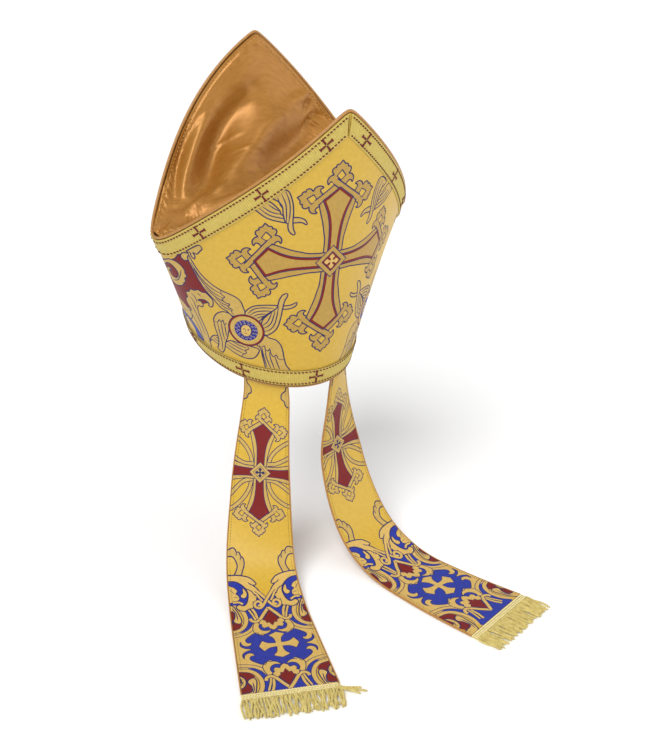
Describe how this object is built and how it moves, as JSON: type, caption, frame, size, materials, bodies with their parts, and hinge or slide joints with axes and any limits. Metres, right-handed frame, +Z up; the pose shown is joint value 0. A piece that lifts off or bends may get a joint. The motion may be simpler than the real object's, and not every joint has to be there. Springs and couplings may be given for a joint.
{
  "type": "bishop mitre",
  "caption": "Tall two-horned brocade headdress with galloon edging, a satin crown between the horns, an open head hollow and fringed lappets at the back.",
  "frame": {"origin": "centre of the head opening, in the plane of the rim", "axes": "+Z up, +Y to the wearer's back, where the lappets hang, and +X to the wearer's left; the crown's own axis leans 15 degrees from +Z towards +Y"},
  "size_m": [0.3412, 0.4617, 0.5529],
  "materials": {
    "brocade": "satin-ground brocade, warm gold with woven motifs",
    "galloon": "ribbed metallic braid, pale green-gold",
    "satin_piping": "bronze satin over cord",
    "satin_lining": "bronze satin, soft sheen",
    "fringe_yarn": "twisted pale gold yarn"
  },
  "bodies": {
    "root": {"front_panel": "brocade", "back_panel": "brocade", "crown_lining": "satin_lining", "front_piping": "satin_piping", "back_piping": "satin_piping", "rim_piping": "satin_piping", "front_galloon_left": "galloon", "front_galloon_right": "galloon", "back_galloon_left": "galloon", "back_galloon_right": "galloon", "base_galloon": "galloon", "lappet_face_left": "brocade", "lappet_face_right": "brocade", "lappet_back_left": "satin_lining", "lappet_back_right": "satin_lining", "fringe_left": "fringe_yarn", "fringe_right": "fringe_yarn"}
  },
  "joints": []
}
